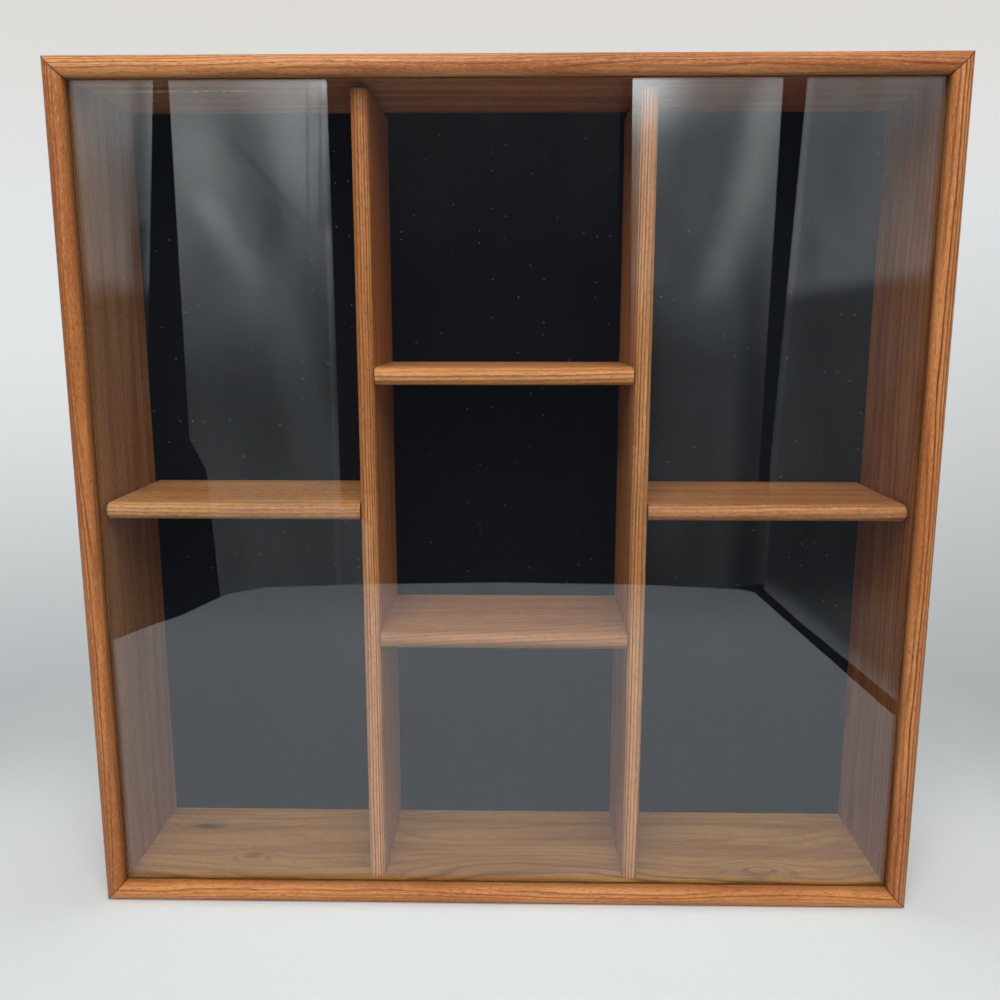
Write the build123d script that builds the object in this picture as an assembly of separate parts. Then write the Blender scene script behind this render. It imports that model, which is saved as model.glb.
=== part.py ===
from build123d import *
import os

# A glass-fronted display case for fishing lures: four mitred boards with rounded front edges, a pane
# that lifts out through a slot in the top, a felt-covered back and a loose grid of dividers and shelves.
# Millimetres. The case stands on z = 0, its glass faces -y and x = 0 is its middle.

# ---- driving sizes: the case ----
CASE_WIDTH = 355.6
CASE_HEIGHT = 355.6
BOARD_DEPTH = 76.2
BOARD_THICKNESS = 8.0
CORNER_ROUNDING = 0.8  # sanded round at the four outer corners

# ---- driving sizes: the glass and its groove ----
GLASS_THICKNESS = 2.5
GLASS_ARRIS = 0.3  # the sanded bevel along the pane's edges
GROOVE_LIP = 1.8  # flat wood between the rounded front edge and the groove
GROOVE_DEPTH = 3.5
GROOVE_CLEARANCE = 0.25  # on each face and each upright edge of the pane
GLASS_BELOW_TOP = 0.2
SCALLOP_RADIUS = 11.0  # finger recess behind the top edge of the pane
SCALLOP_DEPTH = 5.0

# ---- driving sizes: the back ----
PANEL_THICKNESS = 3.2
FELT_THICKNESS = 1.0
PANEL_RECESS = 0.4  # how far the panel lies inside the rear edges
REBATE_WIDTH = 3.6
PANEL_CLEARANCE = 0.5

# ---- driving sizes: the grid of dividers and shelves ----
GRID_THICKNESS = 7.2
CENTRE_BAY_WIDTH = 106.8
MIDDLE_BAY_HEIGHT = 106.6
SHELVES_BELOW_MIDDLE = 0.4  # how far the shelves sit below the middle of the dividers
GRID_BEHIND_GROOVE = 1.9
GRID_TOP_CLEARANCE = 2.8
GRID_SIDE_CLEARANCE = 0.9
HOUSING_DEPTH = 2.0
HOUSING_STOP = 10.0  # how far behind the rounded edge a housing begins
HOUSING_CLEARANCE = 0.1
SHOULDER_CLEARANCE = 0.2  # the fine gap between a shelf's front corner and its divider
FREE_END_ROUNDING = 1.5  # front corner of a side shelf, next to the case

# ---- driving sizes: brads, nails and hangers ----
PILOT_CLEARANCE = 0.05
BRAD_DIAMETER = 1.2
BRAD_HEAD_DIAMETER = 2.0
BRAD_HEAD_HEIGHT = 0.4
CORNER_BRAD_LENGTH = 22.0
CORNER_BRAD_INSET = 20.0  # from the front and rear edges of the boards
BACK_BRAD_LENGTH = 14.0
BACK_BRADS_A_SIDE = 4
HANGER_LENGTH = 45.0
HANGER_HEIGHT = 7.5
HANGER_THICKNESS = 0.8
HANGER_RAISE = 1.6  # how far the toothed middle stands off the wood
HANGER_FOOT = 10.0  # flat length at each end of a hanger
HANGER_SPACING = 190.0
HANGER_BELOW_TOP = 0.3
TOOTH_COUNT = 7
TOOTH_PITCH = 2.6
TOOTH_DEPTH = 1.6
NAIL_DIAMETER = 1.4
NAIL_HEAD_DIAMETER = 3.0
NAIL_HEAD_HEIGHT = 0.5
NAIL_LENGTH = 13.0

# ---- what follows from them ----
INNER_WIDTH = CASE_WIDTH - 2 * BOARD_THICKNESS
INNER_TOP = CASE_HEIGHT - BOARD_THICKNESS
HANGER_PROUD = HANGER_RAISE + HANGER_THICKNESS
FRONT = -(BOARD_DEPTH + HANGER_PROUD) / 2
REAR = FRONT + BOARD_DEPTH

GROOVE_FRONT = FRONT + BOARD_THICKNESS / 2 + GROOVE_LIP
GROOVE_REAR = GROOVE_FRONT + GLASS_THICKNESS + 2 * GROOVE_CLEARANCE
GROOVE_HALF_WIDTH = INNER_WIDTH / 2 + GROOVE_DEPTH
GROOVE_FLOOR = BOARD_THICKNESS - GROOVE_DEPTH

PANEL_REAR = REAR - PANEL_RECESS
PANEL_FRONT = PANEL_REAR - PANEL_THICKNESS
FELT_FRONT = PANEL_FRONT - FELT_THICKNESS
REBATE_HALF_WIDTH = INNER_WIDTH / 2 + REBATE_WIDTH
REBATE_FLOOR = BOARD_THICKNESS - REBATE_WIDTH
REBATE_TOP = INNER_TOP + REBATE_WIDTH

GRID_FRONT = GROOVE_REAR + GRID_BEHIND_GROOVE
GRID_DEPTH = FELT_FRONT - GRID_FRONT
GRID_TOP = INNER_TOP - GRID_TOP_CLEARANCE
GRID_HEIGHT = GRID_TOP - BOARD_THICKNESS
GRID_MID_HEIGHT = (GRID_TOP + BOARD_THICKNESS) / 2 - SHELVES_BELOW_MIDDLE
GRID_HALF_WIDTH = INNER_WIDTH / 2 - GRID_SIDE_CLEARANCE
DIVIDER_X = (CENTRE_BAY_WIDTH + GRID_THICKNESS) / 2
SHELF_STEP = (MIDDLE_BAY_HEIGHT + GRID_THICKNESS) / 2
UPPER_SHELF_HEIGHT = GRID_MID_HEIGHT + SHELF_STEP
LOWER_SHELF_HEIGHT = GRID_MID_HEIGHT - SHELF_STEP
HOUSING_FRONT = GRID_FRONT + HOUSING_STOP

HANGER_TOP = CASE_HEIGHT - HANGER_BELOW_TOP
HANGER_NAIL_HEIGHT = (REBATE_TOP + CASE_HEIGHT) / 2
HANGER_NAIL_OFFSET = (HANGER_LENGTH - HANGER_FOOT) / 2
PAST = 1.0  # how far a cutter runs past the wood


def block(low, high):
    """A box between two corners."""
    size = [end - start for start, end in zip(low, high)]
    return Pos(*low) * Box(*size, align=(Align.MIN, Align.MIN, Align.MIN))


def nosed_board(thickness, depth, length):
    """An upright board, its rounded front edge at y = 0 and its foot on z = 0."""
    radius = thickness / 2
    outline = Pos(0, radius) * Circle(radius)
    outline += Pos(0, (radius + depth) / 2) * Rectangle(thickness, depth - radius)
    return extrude(outline, length)


def upright(board, x, z):
    """Stand a nosed board up with its middle at x and its foot at z."""
    return Pos(x, 0, z) * board


def level(board, x, z):
    """Lay a nosed board level, starting at x, with the middle of its thickness at z."""
    return Pos(x, 0, z) * Rot(0, 90, 0) * board


def headed_pin(diameter, length, head_diameter, head_height):
    """A brad or nail pointing down -z, with the underside of its head at z = 0."""
    point = 2 * diameter
    up = (Align.CENTER, Align.CENTER, Align.MIN)
    down = (Align.CENTER, Align.CENTER, Align.MAX)
    shank = Cylinder(diameter / 2, length - point, align=down)
    tip = Pos(0, 0, -length) * Cone(diameter / 8, diameter / 2, point, align=up)
    head = Cylinder(head_diameter / 2, head_height, align=up)
    return shank + tip + head


def pin_hole(diameter, length, head_diameter, head_height):
    """The hole for such a pin, with a seat that takes its head."""
    down = (Align.CENTER, Align.CENTER, Align.MAX)
    up = (Align.CENTER, Align.CENTER, Align.MIN)
    hole = Cylinder(diameter / 2 + PILOT_CLEARANCE, length + PILOT_CLEARANCE, align=down)
    return hole + Cylinder(head_diameter / 2 + PILOT_CLEARANCE, head_height + PAST, align=up)


def mitred(board, corners):
    """Cut a board to the part of the case between its two mitres, given as points (x, z)."""
    between_mitres = Plane.XZ * make_face(Polyline(*corners, close=True))
    whole_case = Plane.XZ * Pos(0, CASE_HEIGHT / 2) * RectangleRounded(CASE_WIDTH, CASE_HEIGHT, CORNER_ROUNDING)
    for outline in (between_mitres, whole_case):
        board &= extrude(outline, 2 * BOARD_DEPTH, both=True)
    return board


def glass_groove():
    """The space that the groove and the slot in the top leave for the pane."""
    low = (-GROOVE_HALF_WIDTH, GROOVE_FRONT, GROOVE_FLOOR)
    return block(low, (GROOVE_HALF_WIDTH, GROOVE_REAR, CASE_HEIGHT + PAST))


def back_rebate():
    """The recess all round the rear edge that takes the back."""
    low = (-REBATE_HALF_WIDTH, FELT_FRONT, REBATE_FLOOR)
    return block(low, (REBATE_HALF_WIDTH, REAR + PAST, REBATE_TOP))


def corner_brad_places():
    """Two brads at each corner, driven through the sides into the ends of the top and bottom."""
    seat = CASE_WIDTH / 2 - BRAD_HEAD_HEIGHT
    rows = (FRONT + CORNER_BRAD_INSET, REAR - CORNER_BRAD_INSET)
    heights = (BOARD_THICKNESS / 2, CASE_HEIGHT - BOARD_THICKNESS / 2)
    return [Pos(side * seat, y, z) * Rot(0, side * 90, 0) for side in (-1, 1) for y in rows for z in heights]


def back_brad_places():
    """Brads round the back, driven forward into the ledge of the rebate."""
    half_width = INNER_WIDTH / 2 + REBATE_WIDTH / 2
    low = BOARD_THICKNESS - REBATE_WIDTH / 2
    high = INNER_TOP + REBATE_WIDTH / 2
    shares = [(number + 0.5) / BACK_BRADS_A_SIDE - 0.5 for number in range(BACK_BRADS_A_SIDE)]
    points = [(share * INNER_WIDTH, z) for share in shares for z in (low, high)]
    mid_height = CASE_HEIGHT / 2
    inner_height = INNER_TOP - BOARD_THICKNESS
    points += [(x, mid_height + share * inner_height) for share in shares for x in (-half_width, half_width)]
    return [Pos(x, PANEL_REAR, z) * Rot(-90, 0, 0) for x, z in points]


def hanger_nail_places(hanger_x):
    """The two nails of one hanger."""
    seat = REAR + HANGER_THICKNESS
    xs = (hanger_x - HANGER_NAIL_OFFSET, hanger_x + HANGER_NAIL_OFFSET)
    return [Pos(x, seat, HANGER_NAIL_HEIGHT) * Rot(-90, 0, 0) for x in xs]


def drilled(solid, places, hole):
    """Take a hole out of a solid at each place."""
    for place in places:
        solid -= place * hole
    return solid


corner_brad = headed_pin(BRAD_DIAMETER, CORNER_BRAD_LENGTH, BRAD_HEAD_DIAMETER, BRAD_HEAD_HEIGHT)
corner_hole = pin_hole(BRAD_DIAMETER, CORNER_BRAD_LENGTH, BRAD_HEAD_DIAMETER, BRAD_HEAD_HEIGHT)
back_brad = headed_pin(BRAD_DIAMETER, BACK_BRAD_LENGTH, BRAD_HEAD_DIAMETER, BRAD_HEAD_HEIGHT)
back_hole = pin_hole(BRAD_DIAMETER, BACK_BRAD_LENGTH, BRAD_HEAD_DIAMETER, BRAD_HEAD_HEIGHT)
nail = headed_pin(NAIL_DIAMETER, NAIL_LENGTH, NAIL_HEAD_DIAMETER, NAIL_HEAD_HEIGHT)
nail_hole = pin_hole(NAIL_DIAMETER, NAIL_LENGTH, NAIL_HEAD_DIAMETER, NAIL_HEAD_HEIGHT)
hanger_xs = (-HANGER_SPACING / 2, HANGER_SPACING / 2)
hanger_nail_spots = [place for x in hanger_xs for place in hanger_nail_places(x)]


def finished_case_board(board, corners):
    """Mitre a board of the case, groove it for the glass and rebate and drill it for the back."""
    board = mitred(board, corners) - glass_groove() - back_rebate()
    board = drilled(board, corner_brad_places(), corner_hole)
    return drilled(board, back_brad_places(), back_hole)


def side_board(side):
    """The left (-1) or right (1) board of the case."""
    outer = side * CASE_WIDTH / 2
    inner = side * INNER_WIDTH / 2
    blank = nosed_board(BOARD_THICKNESS, BOARD_DEPTH, CASE_HEIGHT)
    board = Pos(0, FRONT, 0) * upright(blank, (outer + inner) / 2, 0)
    corners = [(outer, 0), (inner, BOARD_THICKNESS), (inner, INNER_TOP), (outer, CASE_HEIGHT)]
    return finished_case_board(board, corners)


def level_board(outer, inner):
    """The bottom or top board of the case, between its outer and inner heights."""
    half = CASE_WIDTH / 2
    blank = nosed_board(BOARD_THICKNESS, BOARD_DEPTH, CASE_WIDTH)
    board = Pos(0, FRONT, 0) * level(blank, -half, (outer + inner) / 2)
    corners = [(-half, outer), (half, outer), (INNER_WIDTH / 2, inner), (-INNER_WIDTH / 2, inner)]
    return finished_case_board(board, corners)


def top_board():
    """The top board, with the finger recess behind its slot and the nail holes of the hangers."""
    round_cut = Pos(0, GROOVE_REAR, CASE_HEIGHT - SCALLOP_DEPTH) * Cylinder(
        SCALLOP_RADIUS, SCALLOP_DEPTH + PAST, align=(Align.CENTER, Align.CENTER, Align.MIN))
    low = (-SCALLOP_RADIUS, GROOVE_FRONT, CASE_HEIGHT - SCALLOP_DEPTH)
    behind_glass = block(low, (SCALLOP_RADIUS, GROOVE_REAR + SCALLOP_RADIUS, CASE_HEIGHT + PAST))
    board = level_board(CASE_HEIGHT, INNER_TOP) - (round_cut & behind_glass)
    return drilled(board, hanger_nail_spots, nail_hole)


def glass_pane():
    """The pane, standing on the floor of the groove."""
    half_width = GROOVE_HALF_WIDTH - GROOVE_CLEARANCE
    low = (-half_width, GROOVE_FRONT + GROOVE_CLEARANCE, GROOVE_FLOOR)
    high = (half_width, GROOVE_REAR - GROOVE_CLEARANCE, CASE_HEIGHT - GLASS_BELOW_TOP)
    pane = block(low, high)
    return chamfer(pane.edges().filter_by(Axis.Y, reverse=True), GLASS_ARRIS)


def back_sheet(front, rear):
    """The felt or the panel: one sheet that fits the rebate, drilled for its brads."""
    half_width = REBATE_HALF_WIDTH - PANEL_CLEARANCE
    low = (-half_width, front, REBATE_FLOOR + PANEL_CLEARANCE)
    sheet = block(low, (half_width, rear, REBATE_TOP - PANEL_CLEARANCE))
    return drilled(sheet, back_brad_places(), back_hole)


def housing(divider_x, side, height):
    """The stopped housing that a shelf's end enters, on one side of a divider."""
    face = divider_x + side * GRID_THICKNESS / 2
    floor = face - side * HOUSING_DEPTH
    half_height = GRID_THICKNESS / 2 + HOUSING_CLEARANCE
    low = (min(face, floor), HOUSING_FRONT, height - half_height)
    return block(low, (max(face, floor), FELT_FRONT, height + half_height))


def divider(side):
    """The left (-1) or right (1) divider, standing on the bottom board."""
    x = side * DIVIDER_X
    blank = nosed_board(GRID_THICKNESS, GRID_DEPTH, GRID_HEIGHT)
    board = Pos(0, GRID_FRONT, 0) * upright(blank, x, BOARD_THICKNESS)
    board -= housing(x, side, GRID_MID_HEIGHT)
    board -= housing(x, -side, UPPER_SHELF_HEIGHT)
    return board - housing(x, -side, LOWER_SHELF_HEIGHT)


def shelf(left, right, height, housed_left, housed_right):
    """A shelf between two faces, with a tongue at each end that a divider houses."""
    start = left - HOUSING_DEPTH if housed_left else left
    end = right + HOUSING_DEPTH if housed_right else right
    blank = nosed_board(GRID_THICKNESS, GRID_DEPTH, end - start)
    board = Pos(0, GRID_FRONT, 0) * level(blank, start, height)
    nose_rear = HOUSING_FRONT + HOUSING_CLEARANCE
    half_height = GRID_THICKNESS / 2 + PAST
    ends = [(start - PAST, left + SHOULDER_CLEARANCE)] if housed_left else []
    ends += [(right - SHOULDER_CLEARANCE, end + PAST)] if housed_right else []
    for low_x, high_x in ends:
        low = (low_x, GRID_FRONT - PAST, height - half_height)
        board -= block(low, (high_x, nose_rear, height + half_height))
    return board


def side_shelf(side):
    """The left (-1) or right (1) shelf, housed in a divider at its inner end, its free corner rounded."""
    inner = DIVIDER_X + GRID_THICKNESS / 2
    left, right = (-GRID_HALF_WIDTH, -inner) if side < 0 else (inner, GRID_HALF_WIDTH)
    board = shelf(left, right, GRID_MID_HEIGHT, side > 0, side < 0)
    free_edge = board.faces().sort_by(Axis.X)[0 if side < 0 else -1].edges().sort_by(Axis.Y)[0]
    return fillet(free_edge, FREE_END_ROUNDING)


def centre_shelf(height):
    """A shelf of the middle column, housed in both dividers."""
    return shelf(-CENTRE_BAY_WIDTH / 2, CENTRE_BAY_WIDTH / 2, height, True, True)


def hanger(x):
    """A sawtooth hanger nailed to the rear edge of the top board, its toothed middle raised."""
    half = HANGER_LENGTH / 2
    bend = half - HANGER_FOOT
    rise = bend - HANGER_RAISE
    line = [(-half, 0), (-bend, 0), (-rise, HANGER_RAISE), (rise, HANGER_RAISE), (bend, 0), (half, 0)]
    outer = [(along, out + HANGER_THICKNESS) for along, out in reversed(line)]
    strip = extrude(make_face(Polyline(*line, *outer, close=True)), HANGER_HEIGHT)
    notch = extrude(make_face(Plane.XZ * Polyline(
        (-TOOTH_PITCH / 2, 0), (TOOTH_PITCH / 2, 0), (0, TOOTH_DEPTH), close=True)), 2 * HANGER_PROUD, both=True)
    for number in range(TOOTH_COUNT):
        strip -= Pos((number - (TOOTH_COUNT - 1) / 2) * TOOTH_PITCH, 0, 0) * notch
    strip = Pos(x, REAR, HANGER_TOP - HANGER_HEIGHT) * strip
    return drilled(strip, hanger_nail_places(x), nail_hole)


def group(places, solid):
    """The same solid at each place, as one node."""
    return Compound(children=[place * solid for place in places])


nodes = {
    "left_board": side_board(-1),
    "right_board": side_board(1),
    "top_board": top_board(),
    "bottom_board": level_board(0, BOARD_THICKNESS),
    "glass_pane": glass_pane(),
    "back_felt": back_sheet(FELT_FRONT, PANEL_FRONT),
    "back_panel": back_sheet(PANEL_FRONT, PANEL_REAR),
    "left_divider": divider(-1),
    "right_divider": divider(1),
    "left_shelf": side_shelf(-1),
    "right_shelf": side_shelf(1),
    "upper_centre_shelf": centre_shelf(UPPER_SHELF_HEIGHT),
    "lower_centre_shelf": centre_shelf(LOWER_SHELF_HEIGHT),
    "corner_brads": group(corner_brad_places(), corner_brad),
    "back_brads": group(back_brad_places(), back_brad),
    "left_hanger": hanger(hanger_xs[0]),
    "right_hanger": hanger(hanger_xs[1]),
    "hanger_nails": group(hanger_nail_spots, nail),
}

os.makedirs("parts", exist_ok=True)
for name, shape in nodes.items():
    export_step(shape, f"parts/{name}.step")
    box = shape.bounding_box()
    print(f"{name}: {box.size.X:.2f} x {box.size.Y:.2f} x {box.size.Z:.2f}, volume {shape.volume:.0f}")
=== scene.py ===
# %% [markdown]
# # A display case for fishing lures
# The case is four thin boards mitred into a square frame, their front edges rounded over. A pane of glass
# stands in grooves just behind the rounding, a black felt lining closes the back, and a loose grid of two
# dividers and four shelves makes seven compartments. All of that is solid geometry that comes from the CAD
# model, so this lesson is about finishes: wood cut from a tree that is described in three dimensions, felt
# with lint on it, hardboard, steel, and glass that has something to mirror.

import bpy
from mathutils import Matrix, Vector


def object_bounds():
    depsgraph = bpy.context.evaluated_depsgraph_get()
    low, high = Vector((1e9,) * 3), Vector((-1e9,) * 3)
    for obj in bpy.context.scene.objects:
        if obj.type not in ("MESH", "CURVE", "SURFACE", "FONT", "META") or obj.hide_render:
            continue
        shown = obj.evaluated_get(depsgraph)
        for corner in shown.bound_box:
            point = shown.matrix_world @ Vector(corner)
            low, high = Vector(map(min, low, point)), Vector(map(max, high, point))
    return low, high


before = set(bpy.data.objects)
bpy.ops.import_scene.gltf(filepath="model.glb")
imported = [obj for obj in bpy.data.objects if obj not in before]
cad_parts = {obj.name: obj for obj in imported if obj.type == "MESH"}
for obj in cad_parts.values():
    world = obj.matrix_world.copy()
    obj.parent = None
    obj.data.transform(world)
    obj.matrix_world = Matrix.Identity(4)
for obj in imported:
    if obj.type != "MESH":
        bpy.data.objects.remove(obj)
cad_box = [list(corner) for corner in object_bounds()]
print("loaded", len(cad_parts), "kinds of piece")

import bpy

MM = 0.001
CASE_WIDTH = (cad_box[1][0] - cad_box[0][0]) / MM
CASE_HEIGHT = (cad_box[1][2] - cad_box[0][2]) / MM
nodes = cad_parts
print("the case is", round(CASE_WIDTH, 1), "mm wide and", round(CASE_HEIGHT, 1), "mm high")

# %% [markdown]
# ## Colours as they are seen
# A colour is easiest to choose as the red, green and blue that a screen shows. Blender works with
# amounts of light, so one small function turns the first into the second. Typing light values directly also
# works, but they are hard to picture: a mid brown looks nearly black as numbers.

# %% A colour from screen values
def seen(red, green, blue):
    """The amounts of light of a colour given as it looks on a screen, 0 to 255."""
    def light(value):
        # The standard curve of screens: a straight line near black and a power above it.
        share = value / 255
        return share / 12.92 if share <= 0.04045 else ((share + 0.055) / 1.055) ** 2.4
    return (light(red), light(green), light(blue), 1.0)


print("screen grey 188 is this much light:", round(seen(188, 188, 188)[0], 3))

# %% [markdown]
# ## Sums on a surface
# A finish is a recipe that Blender works out again at every point of a surface. Wiring such recipes by hand
# is slow to read, so the class below lets a shader socket take part in ordinary Python sums: each operator
# adds one Math node. Plain numbers are still worked out in Python, and colours never pass through a Math
# node, because it would turn them grey.

# %% A shader socket in sums
class Amount:
    """A value that changes over a surface."""

    def __init__(self, finish, socket):
        self.finish = finish
        self.socket = socket

    def other(self, name):
        """Another output of the same node."""
        return Amount(self.finish, self.socket.node.outputs[name])

    def __add__(self, term):
        return self.finish.calculate("ADD", self, term)

    def __sub__(self, term):
        return self.finish.calculate("SUBTRACT", self, term)

    def __rsub__(self, term):
        return self.finish.calculate("SUBTRACT", term, self)

    def __mul__(self, term):
        return self.finish.calculate("MULTIPLY", self, term)

    def __truediv__(self, term):
        return self.finish.calculate("DIVIDE", self, term)

    def __rtruediv__(self, term):
        return self.finish.calculate("DIVIDE", term, self)

    def __neg__(self):
        return self * -1.0

    def __abs__(self):
        return self.finish.calculate("ABSOLUTE", self)

    __radd__ = __add__
    __rmul__ = __mul__


print("sums on a surface: + - * / and abs")

# %% [markdown]
# ## A bench for finishes
# Every finish starts as an empty material. One method adds any node: the settings are made first, then the
# values and links of its sockets. The few helpers after it are the moves that come back in every recipe: a
# cloud of noise stretched along some direction, a soft step between two values, and a blend of two colours.

# %% A material under construction
# The Mix node has sockets of every type. These are the ones for its two colours and for the mixed colour.
FIRST_COLOUR = 6
SECOND_COLOUR = 7
MIXED_COLOUR = 2


class Finish:
    """A new material and the ways to add to it."""

    def __init__(self, name):
        self.material = bpy.data.materials.new(name)
        self.material.use_nodes = True
        self.tree = self.material.node_tree
        self.tree.nodes.clear()

    def add(self, kind, settings=None, values=None, out=0):
        """Add a node: first its settings, then a value or a link for each socket named."""
        node = self.tree.nodes.new(kind)
        for name, value in (settings or {}).items():
            setattr(node, name, value)
        for key, value in (values or {}).items():
            if isinstance(value, Amount):
                self.tree.links.new(value.socket, node.inputs[key])
            else:
                node.inputs[key].default_value = value
        return Amount(self, node.outputs[out] if len(node.outputs) else None)

    def calculate(self, operation, *terms):
        """One Math node on these terms."""
        return self.add("ShaderNodeMath", {"operation": operation}, dict(enumerate(terms)))

    def millimetres(self):
        """The place of a point on the resting case, in millimetres, so that sizes read as a maker's."""
        place = self.add("ShaderNodeTexCoord", out="Object")
        return self.add("ShaderNodeVectorMath", {"operation": "SCALE"}, {0: place, "Scale": 1 / MM})

    def parts(self, vector):
        """The three numbers that a place or a direction is made of."""
        first = self.add("ShaderNodeSeparateXYZ", None, {0: vector})
        return first, first.other("Y"), first.other("Z")

    def cloud(self, place, lengths, shift=(0, 0, 0), detail=2.0):
        """Smooth noise from about 0.2 to 0.8, whose lumps have these lengths. shift picks another part."""
        shares = tuple(1 / length for length in lengths)
        vector = self.add("ShaderNodeVectorMath", {"operation": "MULTIPLY_ADD"},
                          {0: place, 1: shares, 2: shift})
        return self.add("ShaderNodeTexNoise", None, {"Vector": vector, "Scale": 1.0, "Detail": detail})

    def step(self, value, low, high):
        """0 below low, 1 above high and a soft rise between, or a fall if low is the larger."""
        return self.add("ShaderNodeMapRange", {"interpolation_type": "SMOOTHSTEP"},
                        {"Value": value, "From Min": low, "From Max": high})

    def blend(self, share, first, second, mode="MIX"):
        """Mix two colours: the first at share 0 and the second at share 1."""
        return self.add("ShaderNodeMix", {"data_type": "RGBA", "blend_type": mode},
                        {0: share, FIRST_COLOUR: first, SECOND_COLOUR: second}, MIXED_COLOUR)

    def skin(self, values, height, lift):
        """An opaque surface shader. height from 0 to 1 stands lift millimetres proud at 1."""
        normal = self.add("ShaderNodeBump", None, {"Height": height, "Distance": lift * MM})
        return self.add("ShaderNodeBsdfPrincipled", None, {**values, "Normal": normal})

    def surface(self, shader):
        """Make this shader the surface of the material."""
        self.add("ShaderNodeOutputMaterial", None, {"Surface": shader})
        return self.material


print("the bench adds any node, and has clouds, steps and blends of its own")

# %% [markdown]
# ## Putting a finish on a piece
# Each piece comes from the CAD model with a plain material in its slots. The finish could be appended as a
# further slot, but then every face would have to be told to use it. Swapping the material inside the slots
# that the faces already use needs no such step.

# %% Dress a piece
def dress(material, *names):
    """Give pieces a material in place of the one that they came with."""
    for name in names:
        for slot in nodes[name].material_slots:
            slot.material = material
    print(material.name, "on", ", ".join(names))


print("to dress:", ", ".join(sorted(nodes)))

# %% [markdown]
# ## A tree for each board
# The boards are a stained wood with open pores and strong year rings. A flat picture of grain would not meet
# at the edges. Here the whole tree is described instead: rings are cylinders round a pith that lies somewhere
# beside the board, bent by slow noise, and the board simply shows what it cuts through. The face, the rounded
# edge and the end grain then agree by themselves. A knot is a place where the rings bulge, so that the cut
# closes them into loops.

# %% Rings round a pith
# Each kind of unevenness has a length along, across and through the board, and a size, all in millimetres.
SWAY_LENGTHS = (190, 45, 45)
SWAY = 7
RIPPLE_LENGTHS = (34, 9, 9)
RIPPLE = 1.1
# Where a face lies nearly along the rings, they are broad and their dark lines are fainter by this share.
FLAT_CUT = (0.86, 1.0)
FLAT_CALM = 0.7
# The dark heart of a knot, from its border to its middle.
HEART_EDGE = (0.5, 0.0)


class Tree(Finish):
    """The tree that a board is cut from. along is the board's axis, pith the centre of the rings, lean how
    the pith runs aside, ring the width of a year, seed a shift of the noise and bend how crooked it is."""

    def __init__(self, name, along, pith, lean, ring, seed, bend):
        super().__init__(name)
        self.ring = ring
        self.seed = seed
        self.hearts = []
        self.x, self.y, self.z = self.parts(self.millimetres())
        upright = along == "z"
        self.length, self.through = (self.z, self.x) if upright else (self.x, self.z)
        self.middle = CASE_HEIGHT / 2 if upright else 0
        self.board = self.add("ShaderNodeCombineXYZ", None, {0: self.length, 1: self.y, 2: self.through})
        aside = self.y - self.length * lean[0] - pith[0]
        below = self.through - self.length * lean[1] - pith[1]
        distance = self.calculate("SQRT", aside * aside + below * below)
        sway = self.cloud(self.board, SWAY_LENGTHS, (seed, 0, 0), 1.0) - 0.5
        ripple = self.cloud(self.board, RIPPLE_LENGTHS, (0, seed, 0)) - 0.5
        self.radius = distance + sway * (SWAY * bend) + ripple * (RIPPLE * bend)
        facing_x, facing_y, facing_z = self.parts(self.add("ShaderNodeTexCoord", out="Normal"))
        facing_through = facing_x if upright else facing_z
        flat_cut = abs((facing_y * aside + facing_through * below) / distance)
        self.contrast = 1 - self.step(flat_cut, *FLAT_CUT) * FLAT_CALM

    def knot(self, along, aside, size, rings, dark=0.0):
        """Bulge the rings round one point by so many rings, over a length and a width, with a dark heart."""
        lengthwise = (self.length - along) / size[0]
        sideways = (self.y - aside) / size[1]
        far = lengthwise * lengthwise + sideways * sideways
        self.radius = self.radius + self.calculate("EXPONENT", -far) * (rings * self.ring)
        self.hearts.append(self.step(far, *HEART_EDGE) * dark)


print("rings sway over", SWAY_LENGTHS[0], "mm and ripple over", RIPPLE_LENGTHS[0], "mm")

# %% [markdown]
# ## The look of stained wood
# Each ring runs from pale early wood to a thin dark line of late wood, and some years are darker than others,
# so every ring draws its own luck from its number. The stain then takes unevenly: it fills the pores, which
# are short dark dashes, misses a few pale flecks, and lies in long soft bands. The wax over it shines less in
# the pores. A height map could carve all this, but the pores are only hundredths of a millimetre deep, and a
# bump in the shading is enough for them.

# %% Colours and sizes in the wood
LATE_WOOD = seen(118, 60, 26)
PORE_BROWN = seen(84, 42, 20)
PALE_FIBRE = seen(240, 182, 118)
PORE_DEPTH = 0.04
# The lumps of each kind along, across and through the board, in millimetres, and the part of the noise at
# which such a lump starts and is complete.
BAND_LENGTHS = (90, 7, 7)
BAND_EDGE = (0.35, 0.68)
FIBRE_LENGTHS = (16, 0.45, 0.45)
FIBRE_EDGE = (0.38, 0.72)
PORE_LENGTHS = (3.2, 0.30, 0.30)
PORE_EDGE = (0.56, 0.66)
FLECK_LENGTHS = (2.0, 0.32, 0.32)
FLECK_EDGE = (0.58, 0.70)
# How strongly each kind colours the wood.
FIBRE_STAIN = 0.5
FLECK_PALENESS = 0.35
PORE_DARKNESS = 0.45
HEART_PORES = 0.6
# Wax makes the wood half glossy. Pores and stain make it rougher again.
WAX_SHINE = 0.3
WAX_ROUGHNESS = 0.36
PORE_ROUGHNESS = 0.2
STAIN_ROUGHNESS = 0.15
# The shares of a year at which the late wood starts, is darkest, and ends.
LATE_RISE = (0.45, 0.88)
LATE_FALL = (1.0, 0.93)
# Fibres shift a ring by this share of a year, and the faintest year's line has this share of the darkest's.
FIBRE_SHIFT = 0.3
FAINTEST_YEAR = 0.35
print("pores are", PORE_LENGTHS[0], "mm long and", PORE_LENGTHS[1], "mm wide")


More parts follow.
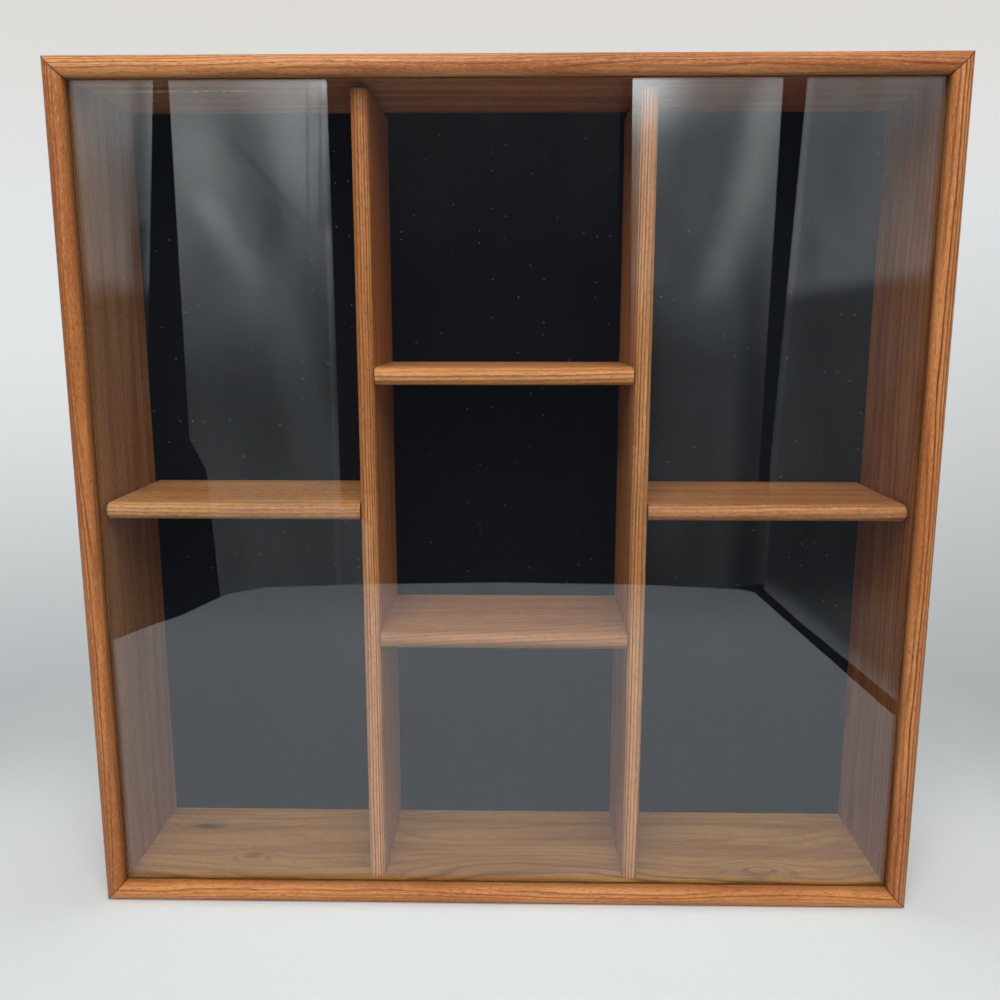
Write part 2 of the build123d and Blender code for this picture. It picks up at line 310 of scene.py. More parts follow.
# %% Stained wood
class Wood(Tree):
    """Stained wood of two tones. drift darkens the far end as painted shade, and lines how strong the rings
    are.
    """

    def __init__(self, name, tones, far_shade=0.0, lines=1.0, **tree):
        super().__init__(name, **tree)
        self.tones = tones
        self.far_shade = far_shade
        self.lines = lines

    def late_wood(self, fibres):
        """How much of the dark line of late wood shows at a point."""
        years = self.radius / self.ring + fibres * FIBRE_SHIFT
        year = self.calculate("FRACT", years)
        number = self.calculate("FLOOR", years)
        luck = self.add("ShaderNodeTexWhiteNoise", {"noise_dimensions": "1D"},
                        {"W": number + self.seed}, "Value")
        line = self.step(year, *LATE_RISE) * self.step(year, *LATE_FALL)
        return line * (luck * (1 - FAINTEST_YEAR) + FAINTEST_YEAR) * self.contrast * self.lines

    def marks_and_shade(self, colour, height):
        """The colour and height with the marks and painted shade that a piece has: none, unless its kind has
        some.
        """
        return colour, height

    def finish(self):
        """Work out the rings, pores and stain and return the material."""
        fibres = self.cloud(self.board, FIBRE_LENGTHS, (self.seed, 5, 0))
        pores = self.step(self.cloud(self.board, PORE_LENGTHS, (0, 0, self.seed), 1.0), *PORE_EDGE)
        flecks = self.step(self.cloud(self.board, FLECK_LENGTHS, (0, self.seed, 9), 1.0), *FLECK_EDGE)
        # The share added towards the far end of a piece, its right end or its top, is painted shade.
        far_end = (self.length - self.middle) / (CASE_WIDTH / 2)
        stain = self.cloud(self.board, BAND_LENGTHS, (7, self.seed, 3)) + far_end * self.far_shade
        pale, warm = self.tones
        colour = self.blend(self.step(stain, *BAND_EDGE), pale, warm)
        colour = self.blend(self.step(fibres, *FIBRE_EDGE) * FIBRE_STAIN, colour, warm)
        colour = self.blend(flecks * FLECK_PALENESS, colour, PALE_FIBRE)
        colour = self.blend(self.late_wood(fibres), colour, LATE_WOOD)
        colour = self.blend(pores * PORE_DARKNESS, colour, PORE_BROWN)
        for heart in self.hearts:
            colour = self.blend(heart * (pores * HEART_PORES + fibres), colour, PORE_BROWN)
        colour, height = self.marks_and_shade(colour, -pores)
        rough = pores * PORE_ROUGHNESS + stain * STAIN_ROUGHNESS + WAX_ROUGHNESS
        return self.surface(self.skin(
            {"Base Color": colour, "Roughness": rough, "Specular IOR Level": WAX_SHINE}, height, PORE_DEPTH))


print("from the bottom up: bands of stain, fibres, flecks, late wood, pores, hearts of knots, marks")

# %% [markdown]
# ## Marks and painted shade on the boards of the case
# The boards carry more marks than the loose grid does. The mitres show as fine dark lines, because glue and
# stain gather in them. The narrow ledge in front of the glass and the groove behind it are darkened with
# painted shade, as the bead and the groove keep light from them. The inner faces are tinted with painted
# shade, the dimmer light inside the case. Such marks could be painted on an unwrapped board, but all of them
# keep to an edge or a seam, so the distance to it finds them without unwrapping anything.

# %% Where the ledge, the groove and the mitres are
BOARD_THICKNESS = 8.0
GROOVE_DEPTH = 3.5
LEDGE_FRONT = -35.3
LEDGE_REAR = -33.5
GROOVE_REAR = -30.5
# A border is soft: it starts at the first number and is complete at the second. INTO is the way into the
# case from its outer faces, and the others go from front to rear.
BEAD_INTO = (3.0, 5.0)
LEDGE_INTO = (BOARD_THICKNESS - GROOVE_DEPTH, BOARD_THICKNESS - 0.5)
GROOVE_INTO = (BOARD_THICKNESS - 0.05, BOARD_THICKNESS - 0.4)
LEDGE_STARTS = (LEDGE_FRONT - 2.6, LEDGE_REAR - 0.2)
LEDGE_ENDS = (LEDGE_REAR + 0.6, LEDGE_REAR)
GROOVE_STARTS = (LEDGE_REAR - 0.2, LEDGE_REAR + 0.1)
GROOVE_ENDS = (GROOVE_REAR + 0.3, GROOVE_REAR)
INSIDE_STARTS = (LEDGE_REAR - 0.3, LEDGE_REAR + 0.1)
SEAM_EDGE = (0.42, 0.12)
SEAM_LUMPS = (6, 2, 2)
# How strongly the painted shade of ledge and groove and the mitres show, and how much fainter mitres are
# inside.
LEDGE_SHADE_STRENGTH = 0.4
GROOVE_SHADE_STRENGTH = 0.85
SEAM_STRENGTH = 0.95
SEAM_LOSS_INSIDE = 0.65
# A scratch is broken into dashes, tapers at its sides and fades over its last millimetres.
SCRATCH_LUMPS = (3.5, 1.0, 1.0)
SCRATCH_GAPS = (0.50, 0.58)
SCRATCH_SIDES = (2.2, 1.2)
SCRATCH_FADE = 8
MARK_BROWN = seen(62, 32, 17)
# The colours of the painted shade on the ledge and in the groove.
LEDGE_SHADE = seen(74, 48, 34)
GROOVE_SHADE = seen(96, 56, 28)
SCRATCH_WHITE = seen(255, 250, 240)
print("the ledge is", round(LEDGE_REAR - LEDGE_FRONT, 1), "mm wide and the groove",
      round(GROOVE_REAR - LEDGE_REAR, 1), "mm")


# %% A mitred board
class CaseWood(Wood):
    """A mitred board. tint multiplies the colour of its inner face as painted shade, and calm is how much
    fainter the rings are there. A calm below 0 makes them stronger."""

    def __init__(self, name, tint, calm, **wood):
        super().__init__(name, **wood)
        self.tint = tint
        self.scratches = []
        self.from_side = CASE_WIDTH / 2 - abs(self.x)
        self.from_end = CASE_HEIGHT / 2 - abs(self.z - CASE_HEIGHT / 2)
        into = self.calculate("MINIMUM", self.from_side, self.from_end)
        past_bead = self.step(into, *BEAD_INTO)
        on_ledge = self.step(self.y, *LEDGE_STARTS) * self.step(self.y, *LEDGE_ENDS)
        in_groove = self.step(self.y, *GROOVE_STARTS) * self.step(self.y, *GROOVE_ENDS)
        self.inside = past_bead * self.step(self.y, *INSIDE_STARTS)
        self.ledge = self.step(into, *LEDGE_INTO) * on_ledge
        self.groove = past_bead * self.step(into, *GROOVE_INTO) * in_groove
        self.contrast = self.contrast * (1 - self.inside * calm)

    def scratch(self, start, end, aside):
        """A pale broken scratch along the inner face."""
        dashes = self.step(self.cloud(self.board, SCRATCH_LUMPS, (0, 0, 5)), *SCRATCH_GAPS)
        half = (end - start) / 2
        line = self.step(abs(self.length - (start + half)), half, half - SCRATCH_FADE)
        line = line * self.step(abs(self.y - aside), *SCRATCH_SIDES)
        self.scratches.append(line * dashes * self.inside)

    def marks_and_shade(self, colour, height):
        """Paint shade on the inner face, the ledge and the groove, and draw the scratches and the mitres."""
        # The inner face gets painted shade: its colour is multiplied by the board's tint.
        shaded_inside = self.blend(1.0, colour, self.tint, "MULTIPLY")
        colour = self.blend(self.inside, colour, shaded_inside)
        # Painted shade: the ledge darkens towards the glass, and the groove darker still.
        colour = self.blend(self.ledge * LEDGE_SHADE_STRENGTH, colour, LEDGE_SHADE)
        colour = self.blend(self.groove * GROOVE_SHADE_STRENGTH, colour, GROOVE_SHADE)
        for line in self.scratches:
            colour = self.blend(line, colour, SCRATCH_WHITE)
        uneven = self.cloud(self.board, SEAM_LUMPS, (1, 2, self.seed)) + 0.5
        seam = self.step(abs(self.from_side - self.from_end) / uneven, *SEAM_EDGE)
        seam = seam * (SEAM_STRENGTH - self.inside * SEAM_LOSS_INSIDE)
        return self.blend(seam, colour, MARK_BROWN), height - seam


print("marks on a board: tint inside, brown ledge, brown groove, scratches, mitres")

# %% [markdown]
# ## The four boards
# No two boards come from the same tree, so each has its own pith, width of ring and pair of tones. The pith
# is given in millimetres: how far behind the middle of the case it lies, and how far to the right of the
# middle or, for the level boards, above the underside. A far pith gives straight lines, and a near one the
# arches of a board sawn flat. The bottom board also has knots: two small dark ones at the left, and two
# where the rings only swing round. One recipe for all four would save lines, but a case whose boards match
# in every ring looks printed.

# %% Wood for the boards
LEFT_WOOD = seen(200, 130, 70), seen(170, 99, 48)
RIGHT_WOOD = seen(206, 136, 76), seen(178, 105, 51)
TOP_WOOD = seen(218, 150, 92), seen(176, 104, 54)
BOTTOM_WOOD = seen(214, 142, 77), seen(186, 110, 50)
# Painted shade: each board's inner face is multiplied by one of these tints, for the dimmer light inside the
# case.
LEFT_INNER_SHADE = (0.76, 0.93, 1.30, 1.0)
RIGHT_INNER_SHADE = (0.66, 0.61, 0.51, 1.0)
TOP_INNER_SHADE = (0.91, 1.04, 1.35, 1.0)
BOTTOM_INNER_SHADE = (0.70, 0.84, 0.66, 1.0)
# The top board is painted darker towards its right end, as painted shade.
boards = {
    "left_board": CaseWood(
        "left_board_wood", LEFT_INNER_SHADE, 0.15, along="z", pith=(62, -279), lean=(0.010, 0.012), ring=1.05,
        seed=3.1, bend=1.0, tones=LEFT_WOOD),
    "right_board": CaseWood(
        "right_board_wood", RIGHT_INNER_SHADE, 0.0, along="z", pith=(36, 335), lean=(-0.012, 0.004), ring=1.35,
        seed=8.7, bend=1.0, tones=RIGHT_WOOD, lines=1.7),
    "top_board": CaseWood(
        "top_board_wood", TOP_INNER_SHADE, 0.3, along="x", pith=(60, 451), lean=(0.010, -0.012), ring=1.15,
        seed=14.2, bend=1.2, tones=TOP_WOOD, far_shade=0.12),
    "bottom_board": CaseWood(
        "bottom_board_wood", BOTTOM_INNER_SHADE, -1.6, along="x", pith=(4, -112), lean=(0.02, 0.004), ring=1.35,
        seed=21.5, bend=1.6, tones=BOTTOM_WOOD, lines=0.8),
}
boards["bottom_board"].knot(-147, 14, size=(14, 5), rings=2.5, dark=1.8)
boards["bottom_board"].knot(-118, -12, size=(9, 5), rings=2.0, dark=1.2)
boards["bottom_board"].knot(8, -18, size=(54, 17), rings=2.5)
boards["bottom_board"].knot(117, -19, size=(15, 7), rings=2.5)
boards["top_board"].scratch(-169, -96, aside=-11)
for name, wood in boards.items():
    dress(wood.finish(), name)

# %% [markdown]
# ## The grid of dividers and shelves
# The grid is made of thinner strips of the same kind of wood, and nobody took care to match them: one shelf
# is paler and one browner than the rest. It has none of the marks of the case, so plain wood is enough. The
# dividers are cut across the rings, which gives their narrow front edges a few strong straight lines.

# %% Wood for the grid
LEFT_DIVIDER_WOOD = seen(214, 149, 94), seen(182, 112, 54)
RIGHT_DIVIDER_WOOD = seen(212, 151, 92), seen(184, 119, 61)
LEFT_SHELF_WOOD = seen(210, 152, 100), seen(182, 122, 72)
RIGHT_SHELF_WOOD = seen(197, 133, 80), seen(168, 104, 56)
UPPER_SHELF_WOOD = seen(222, 153, 90), seen(199, 128, 68)
LOWER_SHELF_WOOD = seen(174, 120, 72), seen(148, 94, 48)
# The left divider is painted darker towards its top, as painted shade.
grid = {
    "left_divider": Wood(
        "left_divider_wood", along="z", pith=(-60, -132), lean=(0.003, 0.003), ring=1.15, seed=31.0,
        bend=0.5, tones=LEFT_DIVIDER_WOOD, far_shade=0.33, lines=2.0),
    "right_divider": Wood(
        "right_divider_wood", along="z", pith=(-60, 135), lean=(-0.003, 0.003), ring=1.35, seed=37.4,
        bend=0.5, tones=RIGHT_DIVIDER_WOOD, lines=2.0),
    "left_shelf": Wood(
        "left_shelf_wood", along="x", pith=(-50, 110), lean=(0.01, 0.0), ring=1.6, seed=42.8,
        bend=0.7, tones=LEFT_SHELF_WOOD),
    "right_shelf": Wood(
        "right_shelf_wood", along="x", pith=(-54, 108), lean=(-0.01, 0.02), ring=1.7, seed=47.3,
        bend=0.9, tones=RIGHT_SHELF_WOOD),
    "upper_centre_shelf": Wood(
        "upper_centre_shelf_wood", along="x", pith=(-30, 190), lean=(0.0, 0.02), ring=2.0, seed=52.6,
        bend=1.0, tones=UPPER_SHELF_WOOD),
    "lower_centre_shelf": Wood(
        "lower_centre_shelf_wood", along="x", pith=(-40, 78), lean=(0.10, 0.03), ring=1.7, seed=58.9,
        bend=1.2, tones=LOWER_SHELF_WOOD),
}
for name, wood in grid.items():
    dress(wood.finish(), name)

# %% [markdown]
# ## Black felt
# Felt is matted fibre: it swallows light, shows a faint nap, lies a little slack and gathers pale lint. Real
# fibres could be grown as hair, but at arm's length only their unevenness shows. So fine noise makes the nap,
# coarse noise the slackness, and a scatter of cells the lint, most of them left out at random.

# %% Felt with lint
LINT_SPACING = 6
LINT_CHANCE = (0.70, 1.0)
LINT_EDGE = (0.045, 0.025)
felt = Finish("black_felt")
felt_place = felt.millimetres()
felt_x, _, felt_z = felt.parts(felt_place)
sheet = felt.add("ShaderNodeCombineXYZ", None, {0: felt_x / LINT_SPACING, 1: felt_z / LINT_SPACING})
spot = felt.add("ShaderNodeTexVoronoi", {"voronoi_dimensions": "2D"}, {"Vector": sheet, "Scale": 1.0})
chance = felt.add("ShaderNodeSeparateColor", None, {0: spot.other("Color")})
lint_size = felt.step(chance, *LINT_CHANCE)
lint = felt.step(spot / (lint_size + 0.01), *LINT_EDGE) * lint_size
nap = felt.cloud(felt_place, (0.35, 0.35, 0.35), detail=3.0)
slack = felt.cloud(felt_place, (7, 7, 7), (2, 2, 2))
black = felt.blend(nap, seen(9, 10, 12), seen(15, 16, 19))
linted = felt.blend(lint, black, seen(178, 178, 176))
felt_skin = felt.skin({"Base Color": linted, "Roughness": 0.95, "Specular IOR Level": 0.05},
                      0.3 * nap + slack, 0.08)
dress(felt.surface(felt_skin), "back_felt")

# %% [markdown]
# ## Hardboard
# The back is a sheet of pressed wood fibre, smooth and brown, with a mottle of darker flakes. The flakes
# could be small pieces scattered over the sheet, but they lie flush in it, so two clouds of noise do.

# %% Hardboard
hardboard = Finish("brown_hardboard")
hardboard_place = hardboard.millimetres()
mottle = hardboard.cloud(hardboard_place, (3, 3, 3), detail=6.0)
flakes = hardboard.step(hardboard.cloud(hardboard_place, (0.9, 0.9, 0.9), (4, 4, 4), 3.0), 0.58, 0.70)
pressed = hardboard.blend(mottle, seen(124, 88, 60), seen(162, 120, 84))
flaked = hardboard.blend(flakes * 0.5, pressed, seen(96, 66, 44))
hardboard_skin = hardboard.skin({"Base Color": flaked, "Roughness": 0.5 + flakes * 0.2}, mottle, 0.05)
dress(hardboard.surface(hardboard_skin), "back_panel")

# %% [markdown]
# ## Steel
# Brads, nails and hangers are bright steel: metallic, with fine scratches that change how sharp the shine is.
# One recipe serves all three, because only the tone and the polish differ.

# %% Steel
def steel(name, bright, dull, rough):
    """Drawn or stamped steel between two tones, with a roughness where it isn't scratched."""
    metal = Finish(name)
    place = metal.millimetres()
    wear = metal.cloud(place, (0.8, 0.8, 0.8), detail=4.0)
    scratches = metal.cloud(place, (6.0, 0.1, 0.1), (3, 3, 3))
    tone = metal.blend(wear, bright, dull)
    return metal.surface(metal.skin(
        {"Base Color": tone, "Metallic": 1.0, "Roughness": rough + scratches * 0.15}, scratches, 0.01))


dress(steel("brad_steel", seen(205, 203, 198), seen(160, 156, 150), 0.25), "corner_brads", "back_brads")
dress(steel("hanger_steel", seen(214, 206, 186), seen(176, 166, 142), 0.22), "left_hanger", "right_hanger")
dress(steel("nail_steel", seen(205, 203, 198), seen(150, 146, 140), 0.22), "hanger_nails")

# %% [markdown]
# ## Glass
# The pane is a real 2.5 mm sheet with both faces, so it bends and mirrors light as glass does. A single clear
# face would be quicker, but a pane that is lifted out shows its edge and mirrors twice. Lamps are slow to
# find their way through such glass, so for their rays alone it is swapped for a clear shader.

# %% Glass
GLASS_BENDING = 1.62
LAMP_LIGHT_KEPT = (0.92, 0.93, 0.925, 1.0)
glass = Finish("clear_glass")
pane = glass.add("ShaderNodeBsdfPrincipled", None, {
    "Base Color": seen(250, 254, 252), "Roughness": 0.0, "IOR": GLASS_BENDING, "Transmission Weight": 1.0})
clear = glass.add("ShaderNodeBsdfTransparent", None, {"Color": LAMP_LIGHT_KEPT})
lamp_ray = glass.add("ShaderNodeLightPath", out="Is Shadow Ray")
dress(glass.surface(glass.add("ShaderNodeMixShader", None, {0: lamp_ray, 1: pane, 2: clear})), "glass_pane")

# %% [markdown]
# ## The table
# The case stands on a pale table, and the glass mirrors it: that gives the haze in the lower half of the
# pane. Beyond the table's front edge the room is dark, so the shape of that edge shows in the glass and is
# given as a list of corners. An endless floor would be simpler, but it would mirror haze all the way up.
# Looked at directly, the table fades into the backdrop a short way from the case. It is clear from below and
# just under the case, so that the underside can be looked at as well.

# %% The paint of the table
# In millimetres: how far from the middle the table fades away, where a painted shadow darkens its mirror
# image towards the front, and how short a ray is that comes from the underside of the case, which touches the
# table.
TABLE_FADES = (150, 420)
TABLE_SHADOW_SPAN = (-370, -560)
TABLE_SHADOW_STRENGTH = 0.45
TOUCHING = (0.10, 0.05)
table = Finish("pale_table")
table_place = table.millimetres()
_, table_y, _ = table.parts(table_place)
from_middle = table.add("ShaderNodeVectorMath", {"operation": "LENGTH"}, {0: table_place}, "Value")
seen_directly = table.add("ShaderNodeLightPath", out="Is Camera Ray")
ray_length = seen_directly.other("Ray Length") / MM
from_below = table.add("ShaderNodeNewGeometry", out="Backfacing")
# A painted shadow darkens the table's mirror image towards the front.
dull = table.step(table_y, *TABLE_SHADOW_SPAN) * TABLE_SHADOW_STRENGTH
mirrored_white_with_shadow = table.blend(dull, seen(230, 238, 248), seen(150, 156, 166))
table_white = table.blend(seen_directly, mirrored_white_with_shadow, seen(232, 236, 236))
paint = table.add("ShaderNodeBsdfPrincipled", None, {"Base Color": table_white, "Roughness": 0.9})
gone = table.add("ShaderNodeBsdfTransparent")
hidden = table.calculate("MAXIMUM", table.step(from_middle, *TABLE_FADES), from_below) * seen_directly
hidden = table.calculate("MAXIMUM", hidden, table.step(ray_length, *TOUCHING))
table_skin = table.surface(table.add("ShaderNodeMixShader", None, {0: hidden, 1: paint, 2: gone}))
print("the table fades from", TABLE_FADES[0], "to", TABLE_FADES[1], "mm from the middle of the case")

# %% The table
FRONT_EDGE = [
    (-0.9, -0.30), (-0.322, -0.387), (-0.307, -0.424), (-0.290, -0.455), (-0.272, -0.520), (-0.240, -0.546),
    (-0.150, -0.559), (-0.010, -0.568), (0.130, -0.562), (0.222, -0.547), (0.233, -0.536), (0.254, -0.245),
    (0.9, -0.20)]
BACK_CORNERS = [(0.9, 0.9), (-0.9, 0.9)]


def flat(name, points, material):
    """A flat piece of the stage with these corners, in metres."""
    mesh = bpy.data.meshes.new(name)
    mesh.from_pydata(points, [], [tuple(range(len(points)))])
    mesh.materials.append(material)
    thing = bpy.data.objects.new(name, mesh)
    bpy.context.collection.objects.link(thing)
    print(name, "with", len(points), "corners")
    return thing


flat("table", [(across, out, 0.0) for across, out in FRONT_EDGE + BACK_CORNERS], table_skin)

# %% [markdown]
# ## Cloths for the glass to mirror
# Clean glass over black felt is nearly invisible until it mirrors something pale. Five cloths hang a metre
# and a half in front of the case, and only mirrors see them. A lamp could light them, but it would light the
# wood as well, so they shine by themselves: a glow that grows with height, and folds that are a little
# brighter or darker than the rest. A cloth lets through what is behind it and adds its own light, as a thin
# curtain does.

# %% A hanging cloth
CLOTH_COLOUR = (0.90, 0.97, 1.0, 1.0)
BLACK = (0.0, 0.0, 0.0, 1.0)
BRIGHTEST = 5.0
# The heights between which a cloth fades out at its top.
CLOTH_TOP = (1150, 800)
CRUMPLE_LENGTHS = (110, 110, 260)
CRUMPLE_STRENGTH = 1.2


class Cloth(Finish):
    """A pale cloth that only mirrors see. Places on it are in millimetres, and its corners in metres."""

    def __init__(self, name, glow, distance=1.5):
        super().__init__(name)
        self.glow = glow
        self.distance = distance
        place = self.millimetres()
        self.across, _, self.height = self.parts(place)
        lumps = self.cloud(place, CRUMPLE_LENGTHS, (distance, 0, 0), 3.0)
        self.crumples = 1 + (lumps - 0.5) * CRUMPLE_STRENGTH

    def rise(self, low, high, more, slope=0.0):
        """Glow this much more above a height, which may slope up to the right."""
        self.glow = self.step(self.height - self.across * slope, low, high) * more + self.glow

    def fold(self, at, half, more, lean=0.0, low=None, high=None):
        """A fold of half this width that shines more or less. It may lean, and may grow from low to high."""
        share = self.step(abs(self.across - self.height * lean - at), half, 0) * more
        if low is not None:
            share = share * self.step(self.height, low, high)
        self.crumples = self.crumples + share

    def hang(self, corners):
        """Hang the cloth with these corners, each given across and up."""
        shine = self.crumples * self.glow * self.step(self.height, *CLOTH_TOP)
        # The strength stays one number, and the colour carries the pattern.
        light = self.add("ShaderNodeEmission", None, {
            "Color": self.blend(shine / BRIGHTEST, BLACK, CLOTH_COLOUR), "Strength": BRIGHTEST})
        see_through = self.add("ShaderNodeBsdfTransparent")
        curtain = self.surface(self.add("ShaderNodeAddShader", None, {0: light, 1: see_through}))
        thing = flat(self.material.name, [(across, -self.distance, up) for across, up in corners], curtain)
        thing.visible_camera = False
        thing.visible_diffuse = False
        thing.visible_shadow = False


print("a cloth shines by up to", BRIGHTEST)

# %% The cloth at the far left
# A narrow strip beside the left wall of the case, which grows brighter upwards.
far_left_cloth = Cloth("far_left_cloth", 0.08)
far_left_cloth.rise(low=290, high=345, more=0.60)
far_left_cloth.rise(low=370, high=520, more=-0.24)
far_left_cloth.rise(low=420, high=660, more=0.62)
far_left_cloth.fold(at=-748, half=26, more=-0.4, lean=0.086)
far_left_cloth.fold(at=-726, half=8, more=0.1, lean=0.086)
far_left_cloth.fold(at=-737, half=34, more=-0.5, lean=0.086, low=460, high=420)
far_left_cloth.hang([(-1.00, -0.5), (-0.765, -0.5), (-0.62, 1.2), (-1.00, 1.2)])

# %% The large cloth at the left
# The richest in folds. Where a fold ends again, a second fold takes the first one back.
left_cloth = Cloth("left_cloth", 0.22)
left_cloth.rise(low=100, high=380, more=0.37)
left_cloth.rise(low=350, high=600, more=0.60)
left_cloth.rise(low=590, high=680, more=0.20)
left_cloth.fold(at=-365, half=90, more=0.30, lean=-0.4)
left_cloth.fold(at=-262, half=80, more=-0.30, lean=-0.4)
left_cloth.fold(at=-295, half=50, more=0.6, lean=-0.6, low=300, high=390)
left_cloth.fold(at=-295, half=50, more=-0.6, lean=-0.6, low=450, high=530)
left_cloth.fold(at=-395, half=100, more=0.5, low=380, high=560)
left_cloth.fold(at=-360, half=45, more=0.8, low=640, high=690)
left_cloth.fold(at=-640, half=90, more=-0.5, low=560, high=690)
left_cloth.fold(at=-350, half=12, more=-0.5, low=672, high=650)
left_cloth.fold(at=-350, half=12, more=0.5, low=460, high=400)
left_cloth.fold(at=-403, half=6, more=-0.35, lean=0.033, low=380, high=520)
left_cloth.fold(at=-380, half=5, more=-0.35, lean=0.033, low=380, high=520)
left_cloth.fold(at=-352, half=7, more=0.45)
left_cloth.fold(at=-24, half=14, more=-0.15, lean=-0.85, low=400, high=430)
left_cloth.fold(at=-24, half=14, more=0.15, lean=-0.85, low=540, high=600)
left_cloth.fold(at=-350, half=40, more=-0.35, low=400, high=450)
left_cloth.fold(at=-350, half=40, more=0.35, low=540, high=600)
left_cloth.hang([
    (-0.635, 0.03), (-0.605, -0.03), (-0.58, -0.5), (-0.29, -0.5), (-0.29, -0.14), (-0.342, -0.10),
    (-0.347, 1.2), (-0.635, 1.2)])

# %% The cloth at the right
# Its left half brightens towards the top, where the pane shines most.
right_cloth = Cloth("right_cloth", 0.12)
right_cloth.rise(low=-250, high=0, more=0.06)
right_cloth.rise(low=160, high=340, more=0.30)
right_cloth.rise(low=570, high=680, more=0.42)
right_cloth.fold(at=300, half=60, more=1.15, lean=0.25, low=262, high=375)
right_cloth.fold(at=215, half=110, more=2.3, low=430, high=720)
right_cloth.fold(at=215, half=150, more=2.1, low=550, high=700)
right_cloth.fold(at=240, half=80, more=-0.45, low=350, high=310)
right_cloth.fold(at=455, half=80, more=0.8, low=360, high=500)
right_cloth.fold(at=460, half=80, more=-1.1, low=560, high=680)
right_cloth.fold(at=455, half=50, more=-0.6, low=400, high=300)
right_cloth.fold(at=205, half=16, more=-0.4)
right_cloth.hang([
    (0.230, -0.5), (0.44, -0.5), (0.44, -0.262), (0.495, -0.255), (0.50, -0.10), (0.473, -0.05),
    (0.49, 1.2), (0.203, 1.2)])

# %% The cloth at the far right
# Its lower edge slopes, which leaves a dark line in the glass between it and the table.
far_right_cloth = Cloth("far_right_cloth", 0.07)
far_right_cloth.rise(low=-120, high=-20, more=0.10)
far_right_cloth.rise(low=206, high=253, more=0.42, slope=0.15)
far_right_cloth.rise(low=570, high=680, more=0.16)
far_right_cloth.fold(at=504, half=10, more=0.4, lean=0.043)
far_right_cloth.fold(at=535, half=36, more=-0.2, lean=0.043, low=320, high=400)
far_right_cloth.fold(at=535, half=36, more=0.2, lean=0.043, low=400, high=500)
far_right_cloth.rise(low=-230, high=-340, more=0.11)
far_right_cloth.fold(at=175, half=60, more=1.6, lean=-1.2, low=-240, high=-265)
far_right_cloth.hang([
    (0.495, -0.267), (0.569, -0.333), (0.667, -0.412), (0.769, -0.496), (1.0, -0.7), (1.00, 1.2),
    (0.55, 1.2), (0.495, 0.0)])

# %% The dim cloth behind the middle
# Hardly brighter than the dark room, it lifts only the upper middle of the pane a little.
middle_cloth = Cloth("middle_cloth", 0.0, distance=1.6)
middle_cloth.rise(low=290, high=650, more=0.06)
middle_cloth.hang([(-0.30, 0.28), (0.20, 0.28), (0.20, 1.2), (-0.30, 1.2)])

# %% [markdown]
# ## The lamp
# One large soft lamp hangs in front of the case and above it, like a shaded ceiling light. It gives the
# rounded edges a broad shine and lets the shelves throw soft shadows. A small lamp would do for the light,
# but its hard shadows and sharp spots would look like a torch. The clear shader of the glass already lets the
# lamp's light in, so rays that find their way through real glass mustn't find the lamp a second time.

# %% The lamp
LAMP_WATTS = 12.5
LAMP_SIZE = (0.9, 0.8)
LAMP_PLACE = (0.0, -0.82, 1.04)
LAMP_TURN = (0.74, 0.0, 0.0)
lamp_data = bpy.data.lights.new("soft_lamp", "AREA")
lamp_data.shape = "RECTANGLE"
lamp_data.size = LAMP_SIZE[0]
lamp_data.size_y = LAMP_SIZE[1]
lamp_data.energy = LAMP_WATTS
lamp = bpy.data.objects.new("soft_lamp", lamp_data)
lamp.location = LAMP_PLACE
lamp.rotation_euler = LAMP_TURN
lamp.visible_transmission = False
bpy.context.collection.objects.link(lamp)
print("a lamp of", LAMP_WATTS, "watts,", LAMP_SIZE[0], "m wide")

# %% [markdown]
# ## The room
# The room is a colour for every direction and not a model. It has three faces: the camera sees a pale
# backdrop with a band of painted shade where wall and table meet and painted shade towards the right, mirrors
# see the same backdrop in front of them and a dim room behind the camera, and matt surfaces get one even pale
# light.
# Walls could be built, but colours by direction are quicker to render and can be set apart from each other.

# %% The room by direction
# A direction has three parts of 1: up, for one, is 1 overhead, 0 level and -1 underfoot.
WALL_DARKENS = (0.0, -0.40)
WALL_ENDS = (-0.48, -0.36)
WALL_TOP = (0.08, 0.30)
SHADE_RIGHTWARD = (0.15, 0.50)
SHADE_UPPER = (0.20, -0.10)
SHADE_LOWER = (-0.50, -0.38)
SHADE_STRENGTH = 0.3
BEHIND_CAMERA = (0.1, -0.35)


class Sky(Finish):
    """The light from all round, built like a finish."""

    def __init__(self, world):
        self.tree = world.node_tree
        self.tree.nodes.clear()


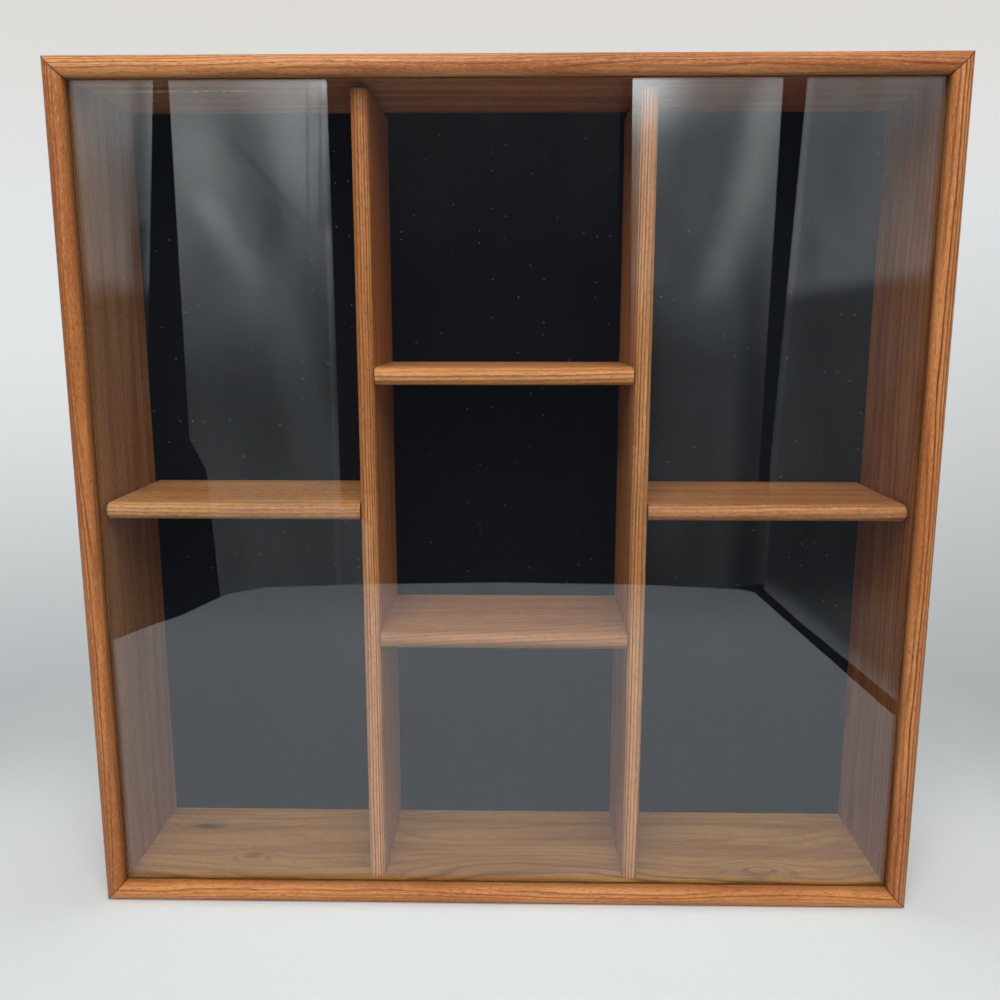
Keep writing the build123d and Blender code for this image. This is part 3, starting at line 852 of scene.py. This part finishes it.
world = bpy.data.worlds.new("pale_room")
world.use_nodes = True
bpy.context.scene.world = world
sky = Sky(world)
rightward, away, up = sky.parts(sky.add("ShaderNodeTexCoord", out="Generated"))
# Painted shade: a darker band where wall and table meet, and a darker right side.
sweep_shade = sky.step(up, *WALL_DARKENS) * sky.step(up, *WALL_ENDS)
shade = sky.step(rightward, *SHADE_RIGHTWARD) * sky.step(up, *SHADE_UPPER) * sky.step(up, *SHADE_LOWER)
wall = sky.blend(sweep_shade, seen(226, 229, 230), seen(174, 179, 181))
wall = sky.blend(sky.step(up, *WALL_TOP), wall, seen(222, 219, 214))
wall = sky.blend(shade * SHADE_STRENGTH, wall, seen(150, 150, 150))
whole_room = sky.blend(sky.step(away, *BEHIND_CAMERA), wall, seen(54, 57, 66))
print("the colours of the room take", len(world.node_tree.nodes), "nodes")

# %% Which ray sees which room
ROOM_LIGHT = 0.30
ROOM_LIGHT_COLOUR = (0.95, 0.98, 1.0, 1.0)
backdrop = sky.add("ShaderNodeBackground", None, {"Color": wall, "Strength": 1.0})
room = sky.add("ShaderNodeBackground", None, {"Color": whole_room, "Strength": 1.0})
light = sky.add("ShaderNodeBackground", None, {"Color": ROOM_LIGHT_COLOUR, "Strength": ROOM_LIGHT})
direct = sky.add("ShaderNodeLightPath", out="Is Camera Ray")
bounced = sky.calculate("MINIMUM", direct.other("Diffuse Depth"), 1.0)
not_direct = sky.add("ShaderNodeMixShader", None, {0: bounced, 1: room, 2: light})
shown = sky.add("ShaderNodeMixShader", None, {0: direct, 1: not_direct, 2: backdrop})
sky.add("ShaderNodeOutputWorld", None, {"Surface": shown})
print("even light on matt surfaces:", ROOM_LIGHT)

# %% [markdown]
# ## The camera
# The camera stands close to the case, a little above its middle, and looks slightly down. So close, the
# inner walls of the case spread towards the front, which shows its depth. A long lens from far away would
# hide them. The colours are shown as they are, without a film look.

# %% The camera
CAMERA_PLACE = (0.00594, -0.42796, 0.25479)
CAMERA_TURN = (1.38886, 0.0, 0.0188)
LENS = 34.77
SENSOR_WIDTH = 36.0
camera_data = bpy.data.cameras.new("camera")
camera_data.sensor_width = SENSOR_WIDTH
camera_data.lens = LENS
camera = bpy.data.objects.new("camera", camera_data)
camera.location = CAMERA_PLACE
camera.rotation_euler = CAMERA_TURN
bpy.context.collection.objects.link(camera)
bpy.context.scene.camera = camera
bpy.context.scene.view_settings.view_transform = "Standard"
print("the camera is", round(-CAMERA_PLACE[1] / MM), "mm in front of the middle of the case")
